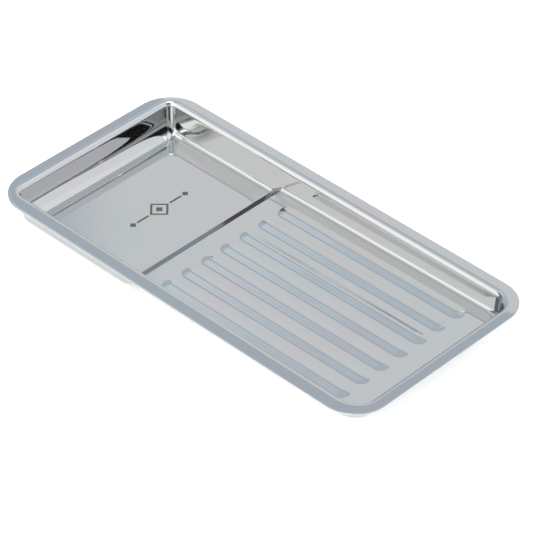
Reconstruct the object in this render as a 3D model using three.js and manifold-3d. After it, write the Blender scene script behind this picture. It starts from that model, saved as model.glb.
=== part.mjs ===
// One-piece pressed steel instrument tray.
//
// The tray is a single stamping: a wide flange that droops slightly outwards,
// a rounded rim, drafted walls, a plain well at one end, a step, and a
// shallower deck with seven raised ribs that are hollow underneath.
//
// Millimetres. +X runs lengthwise from the well to the deck, +Y is across and
// +Z is up. The origin is below the middle of the tray, in the plane of the
// well's underside, which is the face the tray rests on.
import * as THREE from 'three';
import { mergeVertices } from 'three/addons/utils/BufferGeometryUtils.js';
import Module from 'manifold-3d';

// Overall size and sheet
const TRAY_LENGTH = 200;
const TRAY_WIDTH = 100;
const SHEET = 0.7;
const WELL_DEPTH = 14.1;

// Flange and rim bend, measured on the upper surface
const WELL_OUTER_RADIUS = 16;
const DECK_OUTER_RADIUS = 15;
const CREST_INSET = 4.7;
const DECK_END_CREST_INSET = 3.8;
const FLANGE_DROOP = THREE.MathUtils.degToRad(7);
const BEND_RADIUS = 2.6;
const DECK_END_BEND_RADIUS = 2.2;

// Walls and the bend where they meet the floor
const WALL_DRAFT = THREE.MathUtils.degToRad(6);
const SIDE_FOOT_RADIUS = 2;
const WELL_END_FOOT_RADIUS = 8;
const DECK_END_FOOT_RADIUS = 4.5;
const WELL_CORNER_RADIUS = 3.2;
const DECK_CORNER_RADIUS = 8.5;
const WELL_CORNER_TAPER = 0.12;
const DECK_CORNER_TAPER = 0.45;

// Step between the well and the deck, and the deck's gentle fall to the well
const STEP_HEIGHT = 3.2;
const STEP_TOP_X = -26.9;
const STEP_RADIUS = 1;
const STEP_SLOPE = THREE.MathUtils.degToRad(33);
const DECK_RISE = 1.2;
const DECK_RUN = 116;

// Ribs pressed up out of the deck: two bends with a straight flank between
const RIB_COUNT = 7;
const RIB_PITCH = 10.7;
const RIB_START_X = -18.8;
const RIB_END_X = 79.6;
const RIB_BEND_RADIUS = 3;
const RIB_SLOPE = THREE.MathUtils.degToRad(16);
const RIB_FLANK = 2.4;
const RIB_CREST_SHARE = 0.15;
const RIB_BITE = 0.15;

// Fineness of the curved faces
const BEND_STEPS = 5;
const FOOT_STEPS = 4;
const CORNER_STEPS = 7;
const STEP_STEPS = 3;
const RIB_END_STEPS = 6;

const CREST_Z = SHEET + WELL_DEPTH;
const WELL_Z = SHEET;
const DECK_Z = WELL_Z + STEP_HEIGHT;
const WALL_TILT = Math.PI / 2 - WALL_DRAFT;
const STEP_BEND_RUN = STEP_RADIUS * Math.sin(STEP_SLOPE);
const STEP_BEND_RISE = STEP_RADIUS * (1 - Math.cos(STEP_SLOPE));
const STEP_FLANK_RUN = (STEP_HEIGHT - 2 * STEP_BEND_RISE) / Math.tan(STEP_SLOPE);
const STEP_FOOT_X = STEP_TOP_X - 2 * STEP_BEND_RUN - STEP_FLANK_RUN;
const DECK_SLOPE = Math.atan2(DECK_RISE, DECK_RUN);
const RIB_BEND_RUN = RIB_BEND_RADIUS * Math.sin(RIB_SLOPE);
const RIB_BEND_RISE = RIB_BEND_RADIUS * (1 - Math.cos(RIB_SLOPE));
const RIB_HALF_WIDTH = 2 * RIB_BEND_RUN + RIB_FLANK * Math.cos(RIB_SLOPE);
const RIB_HEIGHT = 2 * RIB_BEND_RISE + RIB_FLANK * Math.sin(RIB_SLOPE);

// Height of the deck's upper surface at a distance along the tray
function deckHeight(x) {
  return DECK_Z + (x - STEP_TOP_X) * Math.tan(DECK_SLOPE);
}

// The step's section: a bend at the foot, a straight flank, a bend at the head
function stepSection() {
  const foot = [];
  const head = [];
  for (let i = 0; i <= STEP_STEPS; i += 1) {
    const slope = (STEP_SLOPE * i) / STEP_STEPS;
    const run = STEP_RADIUS * Math.sin(slope);
    const rise = STEP_RADIUS * (1 - Math.cos(slope));
    foot.push({ x: STEP_FOOT_X + run, z: WELL_Z + rise, slope });
    head.unshift({ x: STEP_TOP_X - run, z: DECK_Z - rise, slope: Math.max(slope, DECK_SLOPE) });
  }
  return [...foot, ...head];
}

// Floor level at a corner station: flat in the well, sloping on the deck
function floorAt(x) {
  if (x < 0) {
    return { z: WELL_Z, slope: 0 };
  }
  return { z: deckHeight(x), slope: DECK_SLOPE };
}

// How far a station belongs to an end: 1 on its straight, 0 along the sides
function endShare(station) {
  return station.kind === 'corner' ? Math.cos(station.angle) ** 2 : 0;
}

// The rim's crest and bend at a station; both are smaller across the deck end
function rimAt(station) {
  const share = station.isDeckEnd ? endShare(station) : 0;
  const crestInset = THREE.MathUtils.lerp(CREST_INSET, DECK_END_CREST_INSET, share);
  const bendRadius = THREE.MathUtils.lerp(BEND_RADIUS, DECK_END_BEND_RADIUS, share);
  const wallTopInset = crestInset + bendRadius * Math.sin(WALL_TILT);
  const wallTopZ = CREST_Z - bendRadius * (1 - Math.cos(WALL_TILT));
  return { crestInset, bendRadius, wallTopInset, wallTopZ };
}

// Corner radius of the ring at a given inset from the outer edge
function cornerRadius(station, inset) {
  const { wallTopInset } = rimAt(station);
  const wallTopRadius = station.isDeckEnd ? DECK_CORNER_RADIUS : WELL_CORNER_RADIUS;
  if (inset < wallTopInset) {
    const outerRadius = station.isDeckEnd ? DECK_OUTER_RADIUS : WELL_OUTER_RADIUS;
    return THREE.MathUtils.lerp(outerRadius, wallTopRadius, inset / wallTopInset);
  }
  const taper = station.isDeckEnd ? DECK_CORNER_TAPER : WELL_CORNER_TAPER;
  return wallTopRadius - (inset - wallTopInset) * taper;
}

// Stations round the far half of the tray, from the well end to the deck end
function makeStations() {
  const stations = [];
  for (let i = 0; i <= CORNER_STEPS; i += 1) {
    const angle = Math.PI - (Math.PI / 2) * (i / CORNER_STEPS);
    stations.push({ kind: 'corner', isDeckEnd: false, angle });
  }
  for (const floor of stepSection()) {
    stations.push({ kind: 'side', floor });
  }
  for (let i = 0; i <= CORNER_STEPS; i += 1) {
    const angle = (Math.PI / 2) * (1 - i / CORNER_STEPS);
    stations.push({ kind: 'corner', isDeckEnd: true, angle });
  }
  return stations;
}

// Plan position of a station on the ring at an inset, pushed out by a grow
function planPoint(station, inset, grow) {
  if (station.kind === 'side') {
    return new THREE.Vector2(station.floor.x, TRAY_WIDTH / 2 - inset + grow);
  }
  const radius = cornerRadius(station, inset);
  const end = station.isDeckEnd ? 1 : -1;
  const centreX = end * (TRAY_LENGTH / 2 - inset - radius);
  const centreY = TRAY_WIDTH / 2 - inset - radius;
  const reach = radius + grow;
  return new THREE.Vector2(
    centreX + reach * Math.cos(station.angle),
    centreY + reach * Math.sin(station.angle),
  );
}

// Radius of the bend at the wall's foot: tight along the sides, wide at the ends
function footRadius(station) {
  const endRadius = station.isDeckEnd ? DECK_END_FOOT_RADIUS : WELL_END_FOOT_RADIUS;
  return THREE.MathUtils.lerp(SIDE_FOOT_RADIUS, endRadius, endShare(station));
}

// Inset at which the foot bend runs out into a floor at a given height
function footInset(station, floorZ) {
  const { wallTopInset, wallTopZ } = rimAt(station);
  const radius = footRadius(station);
  const startZ = floorZ + radius * (1 - Math.cos(WALL_TILT));
  const wallRun = (wallTopZ - startZ) * Math.tan(WALL_DRAFT);
  return wallTopInset + wallRun + radius * Math.sin(WALL_TILT);
}

// Floor level and slope belonging to a station
function stationFloor(station) {
  if (station.kind === 'side') {
    return station.floor;
  }
  const guess = floorAt(planPoint(station, rimAt(station).wallTopInset, 0).x);
  return floorAt(planPoint(station, footInset(station, guess.z), 0).x);
}

// Section of the upper surface from the outer edge down to the floor. Tilt is
// the angle between the surface's normal and the vertical, leaning inwards.
function sectionPoints(station, floorZ) {
  const { crestInset, bendRadius } = rimAt(station);
  const tilts = [-FLANGE_DROOP];
  for (let i = 0; i <= BEND_STEPS; i += 1) {
    tilts.push((WALL_TILT * i) / BEND_STEPS);
  }
  const points = tilts.map((tilt) => ({
    inset: crestInset + bendRadius * Math.sin(tilt),
    z: CREST_Z - bendRadius * (1 - Math.cos(tilt)),
    tilt,
  }));
  const flange = points[0];
  const edgeZ = flange.z - flange.inset * Math.tan(FLANGE_DROOP);
  points.unshift({ inset: 0, z: edgeZ, tilt: -FLANGE_DROOP });
  const radius = footRadius(station);
  const centreInset = footInset(station, floorZ);
  for (let i = 0; i <= FOOT_STEPS; i += 1) {
    const tilt = WALL_TILT * (1 - i / FOOT_STEPS);
    const inset = centreInset - radius * Math.sin(tilt);
    const z = floorZ + radius * (1 - Math.cos(tilt));
    points.push({ inset, z, tilt });
  }
  return points;
}

// Upper and lower surface points of one station, a sheet thickness apart
function stationColumn(station) {
  const floor = stationFloor(station);
  const { wallTopZ } = rimAt(station);
  const upper = [];
  const lower = [];
  for (const point of sectionPoints(station, floor.z)) {
    const top = planPoint(station, point.inset, 0);
    const outward = SHEET * Math.sin(point.tilt);
    const below = planPoint(station, point.inset, outward);
    const down = SHEET * Math.cos(point.tilt);
    const slope = point.z < wallTopZ ? floor.slope : 0;
    upper.push(new THREE.Vector3(top.x, top.y, point.z));
    lower.push(
      new THREE.Vector3(
        below.x + down * Math.sin(slope),
        below.y,
        point.z - down * Math.cos(slope),
      ),
    );
  }
  return { upper, lower };
}

// Columns all the way round: the far half, then its mirror image
function makeColumns() {
  const far = makeStations().map(stationColumn);
  const mirror = (points) => points.map((p) => new THREE.Vector3(p.x, -p.y, p.z));
  const near = far.map(({ upper, lower }) => ({
    upper: mirror(upper),
    lower: mirror(lower),
  }));
  near.reverse();
  return [...far, ...near];
}

// A closed geometry from shared points and faces
function closedGeometry(points, faces) {
  const geometry = new THREE.BufferGeometry();
  const positions = new Float32Array(points.flatMap((p) => [p.x, p.y, p.z]));
  geometry.setAttribute('position', new THREE.BufferAttribute(positions, 3));
  geometry.setIndex(faces.flat());
  return mergeVertices(geometry, 1e-5);
}

// The plain pressed sheet: flange, rim, walls, well floor, step and deck
function sheetGeometry() {
  const columns = makeColumns();
  const count = columns.length;
  const rows = columns[0].upper.length;
  const points = [];
  for (const { upper, lower } of columns) {
    points.push(...upper, ...lower);
  }
  const upperAt = (column, row) => (column % count) * 2 * rows + row;
  const lowerAt = (column, row) => (column % count) * 2 * rows + rows + row;
  const faces = [];
  const addQuad = (a, b, c, d) => {
    faces.push([a, b, c], [a, c, d]);
  };
  for (let i = 0; i < count; i += 1) {
    for (let j = 0; j < rows - 1; j += 1) {
      addQuad(upperAt(i, j), upperAt(i, j + 1), upperAt(i + 1, j + 1), upperAt(i + 1, j));
      addQuad(lowerAt(i, j), lowerAt(i + 1, j), lowerAt(i + 1, j + 1), lowerAt(i, j + 1));
    }
    addQuad(upperAt(i, 0), upperAt(i + 1, 0), lowerAt(i + 1, 0), lowerAt(i, 0));
  }
  const last = rows - 1;
  for (let i = 0; i < count / 2 - 1; i += 1) {
    const across = count - 1 - i;
    addQuad(upperAt(i, last), upperAt(across, last), upperAt(across - 1, last), upperAt(i + 1, last));
    addQuad(lowerAt(i, last), lowerAt(i + 1, last), lowerAt(across - 1, last), lowerAt(across, last));
  }
  return closedGeometry(points, faces);
}

// Outline of a rib at one level: a long slot with round ends
function ribRing(centreY, reach, height) {
  const ring = [];
  for (const end of [1, -1]) {
    const tipX = end > 0 ? RIB_END_X : RIB_START_X;
    const centreX = tipX - end * RIB_HALF_WIDTH;
    for (let i = 0; i <= RIB_END_STEPS; i += 1) {
      const angle = -Math.PI / 2 + (Math.PI * i) / RIB_END_STEPS;
      const x = centreX + end * reach * Math.cos(angle);
      const y = centreY + end * reach * Math.sin(angle);
      ring.push(new THREE.Vector3(x, y, deckHeight(x) + height));
    }
  }
  return ring;
}

// A rib's flank from its foot up: reach from the middle, height and slope
function ribFlank() {
  const flank = [0, 0.5, 1].map((share) => {
    const slope = RIB_SLOPE * share;
    const reach = RIB_HALF_WIDTH - RIB_BEND_RADIUS * Math.sin(slope);
    return { reach, height: RIB_BEND_RADIUS * (1 - Math.cos(slope)), slope };
  });
  for (const share of [1, 0.5, RIB_CREST_SHARE]) {
    const slope = RIB_SLOPE * share;
    const height = RIB_HEIGHT - RIB_BEND_RADIUS * (1 - Math.cos(slope));
    flank.push({ reach: RIB_BEND_RADIUS * Math.sin(slope), height, slope });
  }
  return flank;
}

// A solid through a stack of rings that have the same number of points
function loftGeometry(rings) {
  const size = rings[0].length;
  const points = rings.flat();
  const faces = [];
  for (let j = 0; j < rings.length - 1; j += 1) {
    for (let i = 0; i < size; i += 1) {
      const a = j * size + i;
      const b = j * size + ((i + 1) % size);
      faces.push([a, b, b + size], [a, b + size, a + size]);
    }
  }
  const topStart = (rings.length - 1) * size;
  for (let i = 1; i < size - 1; i += 1) {
    faces.push([0, i + 1, i], [topStart, topStart + i, topStart + i + 1]);
  }
  return closedGeometry(points, faces);
}

// A rib's swelling over the deck, or, a sheet's thickness inside, the hollow under it
function ribGeometry(centreY, thickness) {
  const rings = [ribRing(centreY, RIB_HALF_WIDTH, -thickness - RIB_BITE)];
  for (const { reach, height, slope } of ribFlank()) {
    const inner = reach - thickness * Math.sin(slope);
    rings.push(ribRing(centreY, inner, height - thickness * Math.cos(slope)));
  }
  return loftGeometry(rings);
}

const wasm = await Module();
wasm.setup();

function toSolid(geometry) {
  const vertProperties = new Float32Array(geometry.getAttribute('position').array);
  const triVerts = new Uint32Array(geometry.getIndex().array);
  return new wasm.Manifold(new wasm.Mesh({ numProp: 3, vertProperties, triVerts }));
}

function toGeometry(solid) {
  const { vertProperties, triVerts } = solid.getMesh();
  const geometry = new THREE.BufferGeometry();
  geometry.setAttribute('position', new THREE.BufferAttribute(vertProperties, 3));
  geometry.setIndex(new THREE.BufferAttribute(triVerts, 1));
  geometry.computeVertexNormals();
  return geometry;
}

// The whole stamping: the plain sheet with each rib raised and hollowed
function pressedTray() {
  let solid = toSolid(sheetGeometry());
  for (let i = 0; i < RIB_COUNT; i += 1) {
    const centreY = (i - (RIB_COUNT - 1) / 2) * RIB_PITCH;
    const swelling = ribGeometry(centreY, 0);
    const hollow = ribGeometry(centreY, SHEET);
    solid = solid.add(toSolid(swelling)).subtract(toSolid(hollow));
  }
  const steel = new THREE.MeshStandardMaterial({
    color: 0xc3c9cc,
    roughness: 0.12,
    metalness: 1,
  });
  const mesh = new THREE.Mesh(toGeometry(solid), steel);
  mesh.name = 'pressed_tray';
  return mesh;
}

const group = new THREE.Group();
group.add(pressedTray());

export default group;
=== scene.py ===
# Polished steel instrument tray: one pressed sheet with a plain well, a step
# and a ribbed deck, its steel, and the studio it stands in.
import math

import bpy
import numpy as np
from mathutils import Matrix, Vector, noise


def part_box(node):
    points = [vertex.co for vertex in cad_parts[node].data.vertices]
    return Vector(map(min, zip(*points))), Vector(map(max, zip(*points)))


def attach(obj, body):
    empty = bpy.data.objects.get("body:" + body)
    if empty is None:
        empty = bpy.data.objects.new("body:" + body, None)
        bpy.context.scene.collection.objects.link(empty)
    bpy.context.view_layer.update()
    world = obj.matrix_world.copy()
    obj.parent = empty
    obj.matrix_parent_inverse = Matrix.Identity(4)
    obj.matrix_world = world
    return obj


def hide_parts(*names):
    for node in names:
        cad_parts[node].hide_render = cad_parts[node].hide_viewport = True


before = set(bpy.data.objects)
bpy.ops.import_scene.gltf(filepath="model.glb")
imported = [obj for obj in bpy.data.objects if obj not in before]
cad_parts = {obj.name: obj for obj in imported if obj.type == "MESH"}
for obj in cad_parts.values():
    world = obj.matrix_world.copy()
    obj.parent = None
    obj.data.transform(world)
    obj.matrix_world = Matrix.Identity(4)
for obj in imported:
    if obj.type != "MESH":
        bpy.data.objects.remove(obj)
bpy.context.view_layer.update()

MM = 0.001

# ---------------------------------------------------------------- dimensions
# In millimetres and degrees. The overall size comes from the CAD tray's box.
LOW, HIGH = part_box("pressed_tray")
LENGTH = (HIGH[0] - LOW[0]) / MM
WIDTH = (HIGH[1] - LOW[1]) / MM
CREST_Z = (HIGH[2] - LOW[2]) / MM
SHEET = 0.7

# Flange and rim bend, on the upper surface
WELL_OUTER_RADIUS = 16.0
DECK_OUTER_RADIUS = 15.0
CREST_INSET = 4.7
DECK_END_CREST_INSET = 3.8
DROOP = math.radians(7)
BEND_RADIUS = 2.6
DECK_END_BEND_RADIUS = 2.2
EDGE_ROUND = 0.22

# Walls and the bend at their foot
WALL_TILT = math.radians(84)
SIDE_FOOT = 2.0
WELL_END_FOOT = 8.0
DECK_END_FOOT = 4.5
WELL_CORNER = 3.2
DECK_CORNER = 8.5
WELL_CORNER_TAPER = 0.12
DECK_CORNER_TAPER = 0.45

# Step and deck
WELL_Z = SHEET
STEP_HEIGHT = 3.2
STEP_TOP_X = -26.9
STEP_RADIUS = 1.0
STEP_SLOPE = math.radians(33)
DECK_RISE = 1.2
DECK_RUN = 116.0

# Ribs
RIB_COUNT = 7
RIB_PITCH = 10.7
RIB_START_X = -18.8
RIB_END_X = 79.6
RIB_BEND_RADIUS = 3.0
RIB_SLOPE = math.radians(16)
RIB_FLANK = 2.4

# The press does not draw every rib up equally all along
RIB_VARIATION = 0.07
RIB_VARIATION_LENGTH = 26.0
RIB_VARIATION_SPACING = 3.7
RIB_VARIATION_OFFSET = 0.5

# Fineness of the mesh
FLANGE_STEPS = 3
BEND_STEPS = 18
WALL_STEPS = 8
FOOT_STEPS = 12
CORNER_STEPS = 22
STEP_BEND_STEPS = 8
STEP_FLANK_STEPS = 5
RIB_HALF_STEPS = 9
WELL_SIDE_STEPS = 12
STEP_TO_RIB_STEPS = 5
RIB_TIP_STEPS = 12
RIB_LENGTH_STEPS = 24
MARGIN_STEPS = 4
VALLEY_HALF_WIDTH = 0.8

# Where the straight sides begin, and their last stations before the deck's corners
SIDE_START_X = -83.9
SIDE_LAST_XS = (81.0, 82.4)

# How the finished sheet strays from its drawn shape: size and depth of the waves
BROAD_WAVE = 24.0
BROAD_STRAY = 0.035
FINE_WAVE = 9.0
FINE_STRAY = 0.006
FINE_OFFSET = Vector((7.1, 3.3, 5.7))
STRAY_ABOVE_WELL = 0.3
STRAY_BELOW_CREST = 0.9

DECK_Z = WELL_Z + STEP_HEIGHT
STEP_BEND_RUN = STEP_RADIUS * math.sin(STEP_SLOPE)
STEP_BEND_RISE = STEP_RADIUS * (1 - math.cos(STEP_SLOPE))
STEP_FLANK_RUN = (STEP_HEIGHT - 2 * STEP_BEND_RISE) / math.tan(STEP_SLOPE)
STEP_FOOT_X = STEP_TOP_X - 2 * STEP_BEND_RUN - STEP_FLANK_RUN
DECK_SLOPE = DECK_RISE / DECK_RUN
RIB_BEND_RUN = RIB_BEND_RADIUS * math.sin(RIB_SLOPE)
RIB_BEND_RISE = RIB_BEND_RADIUS * (1 - math.cos(RIB_SLOPE))
RIB_HALF_WIDTH = 2 * RIB_BEND_RUN + RIB_FLANK * math.cos(RIB_SLOPE)
RIB_HEIGHT = 2 * RIB_BEND_RISE + RIB_FLANK * math.sin(RIB_SLOPE)


# --------------------------------------------------------------- the surface
def lerp(a, b, t):
    return a + (b - a) * t


def step_xs():
    """Positions down the step's section: a foot bend, a straight flank, a head bend."""
    bends = []
    for i in range(STEP_BEND_STEPS + 1):
        bends.append(STEP_RADIUS * math.sin(STEP_SLOPE * i / STEP_BEND_STEPS))
    foot = [STEP_FOOT_X + run for run in bends]
    head = [STEP_TOP_X - run for run in reversed(bends)]
    return foot[:-1] + spread(foot[-1], head[0], STEP_FLANK_STEPS) + head


def floor_z(x):
    """Floor level of the upper surface, without the ribs."""
    from_foot = x - STEP_FOOT_X
    from_top = STEP_TOP_X - x
    if from_foot <= 0:
        return WELL_Z
    if from_top <= 0:
        return DECK_Z - from_top * DECK_SLOPE
    if from_foot < STEP_BEND_RUN:
        return WELL_Z + STEP_RADIUS - math.sqrt(STEP_RADIUS ** 2 - from_foot ** 2)
    if from_top < STEP_BEND_RUN:
        return DECK_Z - STEP_RADIUS + math.sqrt(STEP_RADIUS ** 2 - from_top ** 2)
    return WELL_Z + STEP_BEND_RISE + (from_foot - STEP_BEND_RUN) * math.tan(STEP_SLOPE)


def rib_height(x, y):
    """How far the ribs lift the deck at a point."""
    nearest = round(y / RIB_PITCH)
    if abs(nearest) > RIB_COUNT // 2:
        return 0.0
    across = y - nearest * RIB_PITCH
    past_start = RIB_START_X + RIB_HALF_WIDTH - x
    past_end = x - (RIB_END_X - RIB_HALF_WIDTH)
    away = math.hypot(across, max(0.0, past_start, past_end))
    to_foot = RIB_HALF_WIDTH - away
    if to_foot <= 0:
        return 0.0
    if away < RIB_BEND_RUN:
        height = RIB_HEIGHT - RIB_BEND_RADIUS + math.sqrt(RIB_BEND_RADIUS ** 2 - away ** 2)
    elif to_foot < RIB_BEND_RUN:
        height = RIB_BEND_RADIUS - math.sqrt(RIB_BEND_RADIUS ** 2 - to_foot ** 2)
    else:
        height = RIB_BEND_RISE + (to_foot - RIB_BEND_RUN) * math.tan(RIB_SLOPE)
    along = x / RIB_VARIATION_LENGTH
    place = Vector((along, nearest * RIB_VARIATION_SPACING, RIB_VARIATION_OFFSET))
    return height * (1 + RIB_VARIATION * noise.noise(place))


class Station:
    """A place round the tray's outline where its section is taken."""

    def __init__(self, kind, value, end=0, side=0):
        self.kind = kind      # corner, side or end
        self.value = value    # angle in the corner, x along a side, share across an end
        self.end = end        # -1 at the well, 1 at the deck
        self.side = side      # 1 at the far side, -1 at the near side
        narrow = 0.0
        if end > 0:
            narrow = 1.0 if kind == "end" else math.cos(value) ** 2
        self.crest_inset = lerp(CREST_INSET, DECK_END_CREST_INSET, narrow)
        self.bend_radius = lerp(BEND_RADIUS, DECK_END_BEND_RADIUS, narrow)
        self.wall_top_inset = self.crest_inset + self.bend_radius * math.sin(WALL_TILT)
        self.wall_top_z = CREST_Z - self.bend_radius * (1 - math.cos(WALL_TILT))

    def mirrored(self):
        return Station(self.kind, self.value, self.end, -self.side)

    def corner_radius(self, inset):
        wall_top = DECK_CORNER if self.end > 0 else WELL_CORNER
        if inset < self.wall_top_inset:
            outer = DECK_OUTER_RADIUS if self.end > 0 else WELL_OUTER_RADIUS
            return lerp(outer, wall_top, inset / self.wall_top_inset)
        taper = DECK_CORNER_TAPER if self.end > 0 else WELL_CORNER_TAPER
        return wall_top - (inset - self.wall_top_inset) * taper

    def plan(self, inset):
        """Plan position at an inset from the outer edge."""
        if self.kind == "side":
            return self.value, self.side * (WIDTH / 2 - inset)
        radius = self.corner_radius(inset)
        if self.kind == "end":
            reach = WIDTH / 2 - inset - radius
            return self.end * (LENGTH / 2 - inset), self.value * reach
        x = LENGTH / 2 - inset - radius + radius * math.cos(self.value)
        y = WIDTH / 2 - inset - radius + radius * math.sin(self.value)
        return self.end * x, self.side * y

    def foot_radius(self):
        if self.kind == "side":
            return SIDE_FOOT
        end_foot = DECK_END_FOOT if self.end > 0 else WELL_END_FOOT
        if self.kind == "end":
            return end_foot
        return lerp(SIDE_FOOT, end_foot, math.cos(self.value) ** 2)

    def foot_inset(self, z):
        """Inset at which the foot bend runs out into a floor at height z."""
        radius = self.foot_radius()
        start_z = z + radius * (1 - math.cos(WALL_TILT))
        wall_run = (self.wall_top_z - start_z) / math.tan(WALL_TILT)
        return self.wall_top_inset + wall_run + radius * math.sin(WALL_TILT)

    def floor(self):
        if self.kind == "side":
            return floor_z(self.value)
        z = WELL_Z if self.end < 0 else DECK_Z + DECK_RISE
        for _ in range(3):
            z = floor_z(self.plan(self.foot_inset(z))[0])
        return z


def section(station):
    """Points (inset, z) down the upper surface, from the outer edge to the floor."""
    points = []
    crest, bend = station.crest_inset, station.bend_radius
    flange_inset = crest - bend * math.sin(DROOP)
    flange_z = CREST_Z - bend * (1 - math.cos(DROOP))
    for i in range(FLANGE_STEPS):
        inset = lerp(EDGE_ROUND, flange_inset, i / FLANGE_STEPS)
        points.append((inset, flange_z - (flange_inset - inset) * math.tan(DROOP)))
    for i in range(BEND_STEPS + 1):
        tilt = lerp(-DROOP, WALL_TILT, i / BEND_STEPS)
        points.append((crest + bend * math.sin(tilt), CREST_Z - bend * (1 - math.cos(tilt))))
    floor = station.floor()
    radius = station.foot_radius()
    centre = station.foot_inset(floor)
    foot = []
    for i in range(FOOT_STEPS + 1):
        tilt = WALL_TILT * (1 - i / FOOT_STEPS)
        foot.append((centre - radius * math.sin(tilt), floor + radius * (1 - math.cos(tilt))))
    top = points[-1]
    for i in range(1, WALL_STEPS):
        t = i / WALL_STEPS
        points.append((lerp(top[0], foot[0][0], t), lerp(top[1], foot[0][1], t)))
    return points + foot


def spread(a, b, count):
    return [lerp(a, b, i / count) for i in range(count)]


def side_xs():
    """Positions of the stations along the straight sides."""
    first_tip = RIB_START_X + RIB_HALF_WIDTH
    last_tip = RIB_END_X - RIB_HALF_WIDTH
    xs = spread(SIDE_START_X, STEP_FOOT_X, WELL_SIDE_STEPS)
    xs += step_xs()
    xs += spread(STEP_TOP_X, RIB_START_X, STEP_TO_RIB_STEPS)[1:]
    xs += spread(RIB_START_X, first_tip, RIB_TIP_STEPS)
    xs += spread(first_tip, last_tip, RIB_LENGTH_STEPS)
    xs += spread(last_tip, RIB_END_X, RIB_TIP_STEPS)
    xs += [RIB_END_X, *SIDE_LAST_XS]
    return xs


def rung_ys(edge):
    """Rows across the floor between its two edges, closer together over the ribs."""
    ys = set()
    for rib in range(-(RIB_COUNT // 2), RIB_COUNT // 2 + 1):
        for i in range(-RIB_HALF_STEPS, RIB_HALF_STEPS + 1):
            ys.add(round(rib * RIB_PITCH + RIB_HALF_WIDTH * i / RIB_HALF_STEPS, 4))
        ys.add(round((rib + 0.5) * RIB_PITCH - VALLEY_HALF_WIDTH, 4))
        ys.add(round((rib + 0.5) * RIB_PITCH + VALLEY_HALF_WIDTH, 4))
    outermost = max(ys)
    margin = [lerp(edge, outermost, i / MARGIN_STEPS) for i in range(1, MARGIN_STEPS)]
    return sorted(margin + [-y for y in margin] + list(ys), reverse=True)


# Places where the finished sheet bulges out of, or is drawn into, its drawn shape:
# position, reach along x, y and z, and how far along the surface's normal
BULGES = [
    ((-94.0, 6.0, 9.5), (6.0, 17.0, 4.5), 0.16),
    ((-94.0, -24.0, 7.5), (6.0, 12.0, 5.0), -0.12),
    ((-80.0, 43.0, 9.5), (7.0, 5.0, 4.0), -0.12),
    ((-24.0, 43.0, 8.5), (5.0, 4.0, 4.5), 0.22),
    ((-33.0, 43.0, 7.5), (4.0, 4.0, 4.0), -0.14),
    ((-24.0, -43.0, 8.5), (5.0, 4.0, 4.5), 0.18),
    ((84.0, 43.0, 9.5), (6.0, 5.0, 4.0), -0.12),
]


def unevenness(x, y, z):
    """How far the finished sheet strays from its drawn shape, in millimetres."""
    broad = noise.noise(Vector((x, y, z)) / BROAD_WAVE)
    fine = noise.noise(Vector((x, y, z)) / FINE_WAVE + FINE_OFFSET)
    stray = BROAD_STRAY * broad + FINE_STRAY * fine
    for centre, reach, rise in BULGES:
        away = sum(((p - c) / r) ** 2 for p, c, r in zip((x, y, z), centre, reach))
        stray += rise * math.exp(-away)
    return stray


class Surface:
    """Vertices and faces of the upper surface, with shared corners merged."""

    def __init__(self):
        self.points = []
        self.faces = []
        self.index = {}

    def vertex(self, point):
        key = tuple(round(float(v), 5) for v in point)
        if key not in self.index:
            self.index[key] = len(self.points)
            self.points.append(key)
        return self.index[key]

    def add_face(self, corners):
        ids = [self.vertex(p) for p in corners]
        ids = [v for k, v in enumerate(ids) if v != ids[k - 1]]
        if len(ids) >= 3:
            self.faces.append(tuple(ids))

    def normals(self):
        mesh = bpy.data.meshes.new("upper_surface")
        mesh.from_pydata(self.points, [], self.faces)
        mesh.update()
        flat = np.zeros(len(self.points) * 3)
        mesh.vertices.foreach_get("normal", flat)
        bpy.data.meshes.remove(mesh)
        return flat.reshape(-1, 3)


def outline_stations():
    """Stations all the way round, clockwise from above, with the straight ends' rows."""
    corner = [math.pi / 2 * i / CORNER_STEPS for i in range(CORNER_STEPS + 1)]
    far = [Station("corner", angle, -1, 1) for angle in corner]
    far += [Station("side", x, 0, 1) for x in side_xs()]
    far += [Station("corner", angle, 1, 1) for angle in reversed(corner)]
    return far, [station.mirrored() for station in far]


def upper_surface():
    """The pressed sheet's upper surface, and the ids of its outer edge."""
    far, near = outline_stations()
    edge = WIDTH / 2 - far[len(far) // 2].foot_inset(DECK_Z)
    ys = rung_ys(edge)
    deck_end = [Station("end", y / edge, 1) for y in ys]
    well_end = [Station("end", y / edge, -1) for y in reversed(ys)]
    ring = far + deck_end + near[::-1] + well_end
    columns = []
    for station in ring:
        columns.append([(*station.plan(inset), z) for inset, z in section(station)])
    surface = Surface()
    count = len(ring)
    for i in range(count):
        here, there = columns[i], columns[(i + 1) % count]
        for j in range(len(here) - 1):
            surface.add_face((here[j], here[j + 1], there[j + 1], there[j]))
    rungs = []
    last = len(far) - 1
    for i in range(len(far)):
        start = columns[i][-1]
        stop = columns[len(far) + len(ys) + last - i][-1]
        if i == 0:
            inner = [columns[count - 1 - j][-1] for j in range(len(ys))]
        elif i == last:
            inner = [columns[len(far) + j][-1] for j in range(len(ys))]
        else:
            inner = []
            for y in ys:
                row_y = y if far[i].kind == "side" else y / edge * start[1]
                inner.append((start[0], row_y, floor_z(start[0]) + rib_height(start[0], row_y)))
        rungs.append([start, *inner, stop])
    for here, there in zip(rungs, rungs[1:]):
        for j in range(len(here) - 1):
            surface.add_face((here[j], here[j + 1], there[j + 1], there[j]))
    rim = [surface.vertex(column[0]) for column in columns]
    return surface, ring, rim


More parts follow.
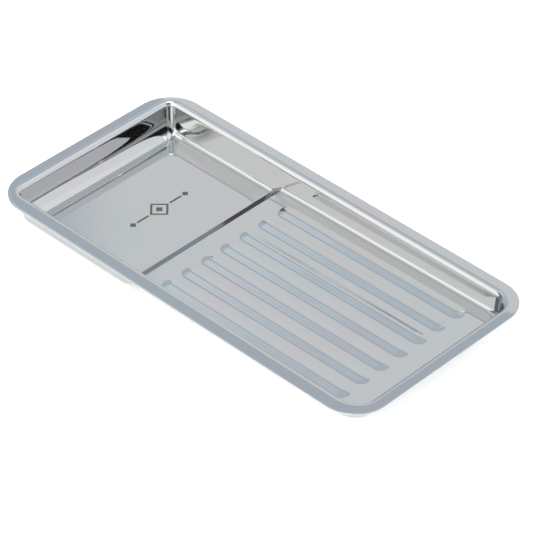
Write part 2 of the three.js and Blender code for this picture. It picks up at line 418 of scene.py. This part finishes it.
def build_tray():
    """The whole sheet: upper surface, underside a thickness below, rounded edge."""
    surface, ring, rim = upper_surface()
    points = np.array(surface.points)
    normals = surface.normals()
    stray = np.array([unevenness(*p) for p in points])
    heights = points[:, 2]
    inside = (heights > WELL_Z + STRAY_ABOVE_WELL) & (heights < CREST_Z - STRAY_BELOW_CREST)
    upper = points + normals * (stray * inside)[:, None]
    lower = upper - normals * SHEET
    count = len(points)
    faces = list(surface.faces)
    faces += [tuple(v + count for v in reversed(face)) for face in surface.faces]

    # from the flange's upper face round the cut edge to its lower face
    loops = [rim]
    coords = []
    for share in (0.25, 0.5, 0.75, 1.0):
        turn = math.pi / 2 * share
        coords.append((EDGE_ROUND * (1 - math.sin(turn)), EDGE_ROUND * (1 - math.cos(turn))))
    coords += [(inset, SHEET - drop) for inset, drop in reversed(coords)]
    extra = []
    for inset, drop in coords:
        start = 2 * count + len(extra)
        for i, station in enumerate(ring):
            x, y = station.plan(inset)
            fall = (EDGE_ROUND - inset) * math.tan(DROOP)
            extra.append((x, y, points[rim[i]][2] - fall - drop))
        loops.append(list(range(start, start + len(ring))))
    loops.append([v + count for v in rim])
    for here, there in zip(loops, loops[1:]):
        for i in range(len(ring)):
            k = (i + 1) % len(ring)
            ids = [here[i], here[k], there[k], there[i]]
            ids = [v for j, v in enumerate(ids) if v != ids[j - 1]]
            if len(ids) >= 3:
                faces.append(tuple(ids))

    satin = np.ones(2 * count + len(extra))
    satin[:count] = 0.0
    vertices = np.vstack([upper, lower, np.array(extra)]) * MM
    vertices[:, 2] += LOW[2]
    mesh = bpy.data.meshes.new("steel_tray")
    mesh.from_pydata(vertices.tolist(), [], faces)
    mesh.validate()
    mesh.update()
    mesh.shade_smooth()
    mesh.attributes.new("satin", "FLOAT", "POINT").data.foreach_set("value", satin)
    tray = bpy.data.objects.new("steel_tray", mesh)
    bpy.context.scene.collection.objects.link(tray)
    return tray


# ----------------------------------------------------------------- materials
class Graph:
    """Short calls for building a node tree."""

    def __init__(self, tree):
        self.tree = tree

    def node(self, kind, inputs=(), **settings):
        node = self.tree.nodes.new(kind)
        for name, value in settings.items():
            setattr(node, name, value)
        for key, value in dict(inputs).items():
            self.feed(node.inputs[key], value)
        return node

    def feed(self, socket, value):
        if isinstance(value, bpy.types.NodeSocket):
            self.tree.links.new(value, socket)
        else:
            socket.default_value = value

    def math(self, operation, *values):
        return self.node("ShaderNodeMath", enumerate(values), operation=operation).outputs[0]

    def dot(self, vector, other):
        pair = {0: vector, 1: other}
        return self.node("ShaderNodeVectorMath", pair, operation="DOT_PRODUCT").outputs["Value"]

    def ramp(self, value, low, high, start=0.0, stop=1.0):
        inputs = {"Value": value, "From Min": low, "From Max": high, "To Min": start, "To Max": stop}
        node = self.node("ShaderNodeMapRange", inputs, interpolation_type="SMOOTHSTEP")
        return node.outputs["Result"]

    def noise(self, vector, scale, detail=2.0, roughness=0.5):
        inputs = {"Vector": vector, "Scale": scale, "Detail": detail, "Roughness": roughness}
        return self.node("ShaderNodeTexNoise", inputs).outputs["Fac"]

    def mix(self, factor, first, second):
        inputs = {"Factor": factor, "A": first, "B": second}
        return self.node("ShaderNodeMix", inputs, data_type="RGBA").outputs["Result"]

    def turned(self, vector, angle, stretch):
        """Coordinates turned about Z and squeezed, for marks drawn out along one way."""
        inputs = {"Vector": vector, "Rotation": (0, 0, math.radians(angle)), "Scale": stretch}
        return self.node("ShaderNodeMapping", inputs, vector_type="TEXTURE").outputs["Vector"]

    def bump(self, height, distance, normal=None):
        inputs = {"Height": height, "Distance": distance, "Strength": 1.0}
        if normal is not None:
            inputs["Normal"] = normal
        return self.node("ShaderNodeBump", inputs).outputs["Normal"]


# The etched divider on the well floor: a line broken by diamonds, in millimetres
DIVIDER_X = -56.5
DIVIDER_Y = 1.0
STROKE = 0.48
CENTRE_DIAMOND = 4.6
CORE_DIAMOND = 1.8
END_DIAMOND = 1.6
LINE_FROM = 6.0
LINE_TO = 12.4
END_DIAMOND_AT = 14.6
OUTLINE_HALF_WIDTH = STROKE * 1.3
RAGGED_EDGE = 0.12


def divider_mask(graph, where):
    """1 on the etched strokes of the divider, 0 on the steel round them."""
    parts = graph.node("ShaderNodeSeparateXYZ", {"Vector": where}).outputs
    across = graph.math("ABSOLUTE", graph.math("MULTIPLY_ADD", parts["X"], 1 / MM, -DIVIDER_X))
    along = graph.math("ABSOLUTE", graph.math("MULTIPLY_ADD", parts["Y"], 1 / MM, -DIVIDER_Y))
    height = graph.math("MULTIPLY", parts["Z"], 1 / MM)
    reach = graph.math("ADD", across, along)
    outline = graph.math("SUBTRACT", graph.math(
        "ABSOLUTE", graph.math("SUBTRACT", reach, CENTRE_DIAMOND)), OUTLINE_HALF_WIDTH)
    core = graph.math("SUBTRACT", reach, CORE_DIAMOND)
    line = graph.math("SUBTRACT", across, STROKE)
    for limit in (graph.math("SUBTRACT", LINE_FROM, along), graph.math("SUBTRACT", along, LINE_TO)):
        line = graph.math("MAXIMUM", line, limit)
    from_end = graph.math("ABSOLUTE", graph.math("SUBTRACT", along, END_DIAMOND_AT))
    end = graph.math("SUBTRACT", graph.math("ADD", across, from_end), END_DIAMOND)
    nearest = outline
    for shape in (core, line, end):
        nearest = graph.math("MINIMUM", nearest, shape)
    ragged = graph.noise(where, 3000, 1)
    nearest = graph.math("MULTIPLY_ADD", ragged, RAGGED_EDGE, nearest)
    on_floor = graph.ramp(height, WELL_Z - 0.2, WELL_Z - 0.1)
    below_wall = graph.ramp(height, WELL_Z + 0.6, WELL_Z + 0.4)
    mask = graph.math("MULTIPLY", graph.ramp(nearest, 0.2, -0.05), on_floor)
    return graph.math("MULTIPLY", mask, below_wall)


# The painted shade on the step fades out between these distances from the tray's long edges
STEP_SHADE_FULL_FROM_EDGE = 11
STEP_SHADE_NONE_FROM_EDGE = 9


def step_painted_shade_mask(graph, where):
    """1 on the step's flank, where a dark tint is painted on as shade in the crease, 0 elsewhere."""
    parts = graph.node("ShaderNodeSeparateXYZ", {"Vector": where}).outputs
    x = graph.math("MULTIPLY", parts["X"], 1 / MM)
    z = graph.math("MULTIPLY", parts["Z"], 1 / MM)
    mask = graph.ramp(x, STEP_FOOT_X, STEP_FOOT_X + STEP_BEND_RUN)
    mask = graph.math("MULTIPLY", mask, graph.ramp(x, STEP_TOP_X, STEP_TOP_X - STEP_BEND_RUN))
    y = graph.math("ABSOLUTE", graph.math("MULTIPLY", parts["Y"], 1 / MM))
    unshaded_y, shaded_y = WIDTH / 2 - STEP_SHADE_NONE_FROM_EDGE, WIDTH / 2 - STEP_SHADE_FULL_FROM_EDGE
    mask = graph.math("MULTIPLY", mask, graph.ramp(y, unshaded_y, shaded_y))
    return graph.math("MULTIPLY", mask, graph.ramp(z, DECK_Z + 1, DECK_Z + 0.2))


STEEL = (0.605, 0.618, 0.626, 1)
STEEL_ROSE = (0.622, 0.606, 0.620, 1)
STEEL_GREEN = (0.588, 0.622, 0.622, 1)
GRAIN_COLOUR = (0.50, 0.52, 0.54, 1)
SATIN_COLOUR = (0.52, 0.535, 0.545, 1)
# painted shade: the dark colour laid into the step's crease
STEP_SHADE_COLOUR = (0.13, 0.14, 0.15, 1)
ETCH_DARK = (0.165, 0.135, 0.108, 1)
ETCH_PALE = (0.26, 0.225, 0.19, 1)

# Hairlines: their direction in degrees, and how much of the noise is left out
HAIRLINES = ((2, 0.70), (-7, 0.73), (38, 0.75), (-62, 0.76))

# Depth of the relief, in metres
WAVE_DEPTH = 0.000012
PEEL_DEPTH = 0.0000012
BRUSHING_DEPTH = 0.000006
HAIRLINE_DEPTH = 0.0000015


def steel_material():
    """Mirror-polished steel with faint tints, smudges, hairlines and a satin back."""
    mat = bpy.data.materials.new("polished_steel")
    mat.use_nodes = True
    graph = Graph(mat.node_tree)
    bsdf = mat.node_tree.nodes["Principled BSDF"]
    bsdf.inputs["Metallic"].default_value = 1.0
    where = graph.node("ShaderNodeTexCoord").outputs["Object"]
    satin = graph.node("ShaderNodeAttribute", attribute_name="satin").outputs["Fac"]

    # colour: cool steel clouded with a little rose and sea green, painted shade darkening the step's
    # crease, browned where etched
    cloud = graph.noise(where, 26, 3, 0.55)
    rose = graph.ramp(cloud, 0.52, 0.68)
    green = graph.ramp(cloud, 0.48, 0.34)
    colour = graph.mix(rose, STEEL, STEEL_ROSE)
    colour = graph.mix(green, colour, STEEL_GREEN)
    grain = graph.noise(graph.turned(where, 3, (1, 0.012, 0.012)), 30, 4, 0.65)
    colour = graph.mix(graph.ramp(grain, 0.55, 0.85, 0, 0.16), colour, GRAIN_COLOUR)
    colour = graph.mix(graph.math("MULTIPLY", satin, 0.55), colour, SATIN_COLOUR)
    # painted shade: the step's flank is darkened in streaks, in the colour only, where its crease
    # falls into shade
    step_shade_area = step_painted_shade_mask(graph, where)
    streaks = graph.noise(graph.turned(where, 90, (1, 0.1, 1)), 60, 3)
    step_shade_amount = graph.math("MULTIPLY", step_shade_area, graph.ramp(streaks, 0.3, 0.7, 0.6, 0.9))
    colour = graph.mix(step_shade_amount, colour, STEP_SHADE_COLOUR)
    etched = divider_mask(graph, where)
    speckle = graph.noise(where, 1800, 2)
    brown = graph.mix(speckle, ETCH_DARK, ETCH_PALE)
    graph.feed(bsdf.inputs["Base Color"], graph.mix(etched, colour, brown))

    # hairlines left by handling, most of them along the tray
    hairs = []
    for angle, threshold in HAIRLINES:
        strands = graph.noise(graph.turned(where, angle, (1, 0.010, 1)), 55, 3, 0.6)
        hairs.append(graph.ramp(strands, threshold, threshold + 0.05))
    hairline = hairs[0]
    for other in hairs[1:]:
        hairline = graph.math("MAXIMUM", hairline, other)

    # roughness: clean polish, dulled by smudges, hairlines, the back and the etching
    smudge = graph.noise(where, 38, 5, 0.62)
    roughness = graph.ramp(smudge, 0.42, 0.72, 0.035, 0.095)
    roughness = graph.math("MULTIPLY_ADD", hairline, 0.08, roughness)
    roughness = graph.math("MULTIPLY_ADD", satin, 0.17, roughness)
    roughness = graph.math("MULTIPLY_ADD", etched, 0.30, roughness)
    graph.feed(bsdf.inputs["Roughness"], roughness)

    # relief: the sheet's slight waves, orange peel, brushing on the back, cut hairlines
    waves = graph.bump(graph.noise(where, 70, 2), WAVE_DEPTH)
    peel = graph.bump(graph.noise(where, 420, 2), PEEL_DEPTH, waves)
    brushing = graph.math("MULTIPLY", grain, satin)
    brushed = graph.bump(brushing, BRUSHING_DEPTH, peel)
    depth = graph.math("ADD", hairline, etched)
    relief = graph.bump(graph.math("MULTIPLY", depth, -1.0), HAIRLINE_DEPTH, brushed)
    graph.feed(bsdf.inputs["Normal"], relief)
    return mat


FLOOR_DARK = (0.925, 0.925, 0.925, 1)
FLOOR_PALE = (0.94, 0.94, 0.938, 1)
FLOOR_GLOW = 0.45
FLOOR_RELIEF = 0.00002


def floor_material():
    """Pale matte studio table, lit a little from within like a light table."""
    mat = bpy.data.materials.new("studio_floor")
    mat.use_nodes = True
    graph = Graph(mat.node_tree)
    bsdf = mat.node_tree.nodes["Principled BSDF"]
    where = graph.node("ShaderNodeTexCoord").outputs["Object"]
    cloud = graph.noise(where, 6, 4)
    graph.feed(bsdf.inputs["Base Color"], graph.mix(cloud, FLOOR_DARK, FLOOR_PALE))
    graph.feed(bsdf.inputs["Roughness"], graph.ramp(cloud, 0.3, 0.7, 0.62, 0.78))
    graph.feed(bsdf.inputs["Normal"], graph.bump(graph.noise(where, 900, 3), FLOOR_RELIEF))
    bsdf.inputs["Emission Color"].default_value = (1, 1, 1, 1)
    bsdf.inputs["Emission Strength"].default_value = FLOOR_GLOW
    return mat


tray = build_tray()
tray.data.materials.append(steel_material())
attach(tray, "root")
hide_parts("pressed_tray")


# -------------------------------------------------------------------- studio
FLOOR_REACH = 3.0
FLOOR_GAP = 0.0002


def build_floor():
    r = FLOOR_REACH
    mesh = bpy.data.meshes.new("studio_floor")
    mesh.from_pydata([(-r, -r, 0), (r, -r, 0), (r, r, 0), (-r, r, 0)], [], [(0, 1, 2, 3)])
    floor = bpy.data.objects.new("studio_floor", mesh)
    floor.location.z = LOW[2] - FLOOR_GAP
    mesh.materials.append(floor_material())
    bpy.context.scene.collection.objects.link(floor)


build_floor()

# The studio's surroundings, painted one over the other. A panel runs between two
# compass angles (from +X towards +Y) and two heights above the horizon, the softbox
# has four straight sides and a spot lies round a direction; all are in degrees.
SKY = (0.575, 0.64, 0.71)
PANELS = [
    # from, to, low, high, softness, colour
    (88, 168, 60, 89, 8, (0.63, 0.68, 0.74)),
    (168, 300, 40, 89, 10, (0.75, 0.77, 0.79)),
    (157, 190, 30, 60, 3, (0.66, 0.745, 0.81)),
    (157, 190, 44, 55, 1.5, (0.82, 0.90, 0.945)),
    (-12, 98, -20, 62, 5, (0.98, 1.0, 1.03)),
    (98, 139, -20, 45, 2.5, (0.855, 0.875, 0.89)),
    (208, 252, -20, 54, 5, (1.14, 1.12, 1.10)),
    (214, 252, -20, 44, 4, (1.42, 1.41, 1.36)),
    (248, 306, -20, 48, 4, (2.0, 1.95, 1.75)),
    (196, 215, -20, 42, 3, (0.26, 0.27, 0.29)),
    (310, 356, -20, 22, 6, (0.70, 0.70, 0.69)),
    (312, 356, 22, 47, 3, (0.16, 0.16, 0.16)),
]
SOFTBOX = [(18, 15), (92, 57), (80, 80), (-10, 55)]
SOFTBOX_COLOUR = (1.04, 1.09, 1.12)
SOFTBOX_EDGE = 0.02
SPOTS = [
    # compass angle, height, inner radius, outer radius, colour
    (329, 29, 10, 15, (0.02, 0.02, 0.02)),
    (-45, 72, 10, 22, (3.0, 3.0, 3.0)),
]


def direction(azimuth, elevation):
    a, e = math.radians(azimuth), math.radians(elevation)
    return Vector((math.cos(a) * math.cos(e), math.sin(a) * math.cos(e), math.sin(e)))


def build_world():
    world = bpy.data.worlds.new("studio")
    bpy.context.scene.world = world
    world.use_nodes = True
    graph = Graph(world.node_tree)
    where = graph.node("ShaderNodeTexCoord").outputs["Generated"]
    layer = (*SKY, 1)

    def beyond(vector, edge, soft):
        """1 where the direction's share along a vector is over an edge, else 0."""
        return graph.ramp(graph.dot(where, vector), edge - soft, edge + soft)

    for start, stop, low, high, softness, colour in PANELS:
        soft = math.sin(math.radians(softness / 2))
        mask = beyond(direction(start + 90, 0), 0.0, soft)
        for vector, edge in (
            (direction(stop - 90, 0), 0.0),
            (Vector((0, 0, 1)), math.sin(math.radians(low))),
            (Vector((0, 0, -1)), -math.sin(math.radians(high))),
        ):
            mask = graph.math("MULTIPLY", mask, beyond(vector, edge, soft))
        layer = graph.mix(mask, layer, (*colour, 1))
    corners = [direction(azimuth, height) for azimuth, height in SOFTBOX]
    mask = 1.0
    for here, there in zip(corners, corners[1:] + corners[:1]):
        inward = here.cross(there).normalized()
        mask = graph.math("MULTIPLY", mask, beyond(inward, 0.0, SOFTBOX_EDGE))
    layer = graph.mix(mask, layer, (*SOFTBOX_COLOUR, 1))
    for azimuth, height, inner, outer, colour in SPOTS:
        along = graph.dot(where, direction(azimuth, height))
        mask = graph.ramp(along, math.cos(math.radians(outer)), math.cos(math.radians(inner)))
        layer = graph.mix(mask, layer, (*colour, 1))
    graph.feed(world.node_tree.nodes["Background"].inputs["Color"], layer)


build_world()

# -------------------------------------------------------------------- camera
CAMERA_AZIMUTH = math.radians(44.36)
CAMERA_ELEVATION = math.radians(38.87)
CAMERA_DISTANCE = 1.1616
AIM = Vector((0.0120, -0.0071, 0.01426))
LENS_PER_SENSOR = 3000 / 533
SENSOR = 36.0


def build_camera():
    level = math.cos(CAMERA_ELEVATION)
    back = Vector((math.sin(CAMERA_AZIMUTH) * level, -math.cos(CAMERA_AZIMUTH) * level,
                   math.sin(CAMERA_ELEVATION)))
    right = Vector((math.cos(CAMERA_AZIMUTH), math.sin(CAMERA_AZIMUTH), 0))
    up = back.cross(right)
    data = bpy.data.cameras.new("camera")
    data.lens = SENSOR * LENS_PER_SENSOR
    data.sensor_width = SENSOR
    data.clip_end = 20
    camera = bpy.data.objects.new("camera", data)
    bpy.context.scene.collection.objects.link(camera)
    turn = Matrix((right, up, back)).transposed().to_4x4()
    camera.matrix_world = Matrix.Translation(AIM + back * CAMERA_DISTANCE) @ turn
    bpy.context.scene.camera = camera


build_camera()
bpy.context.scene.view_settings.view_transform = "Standard"
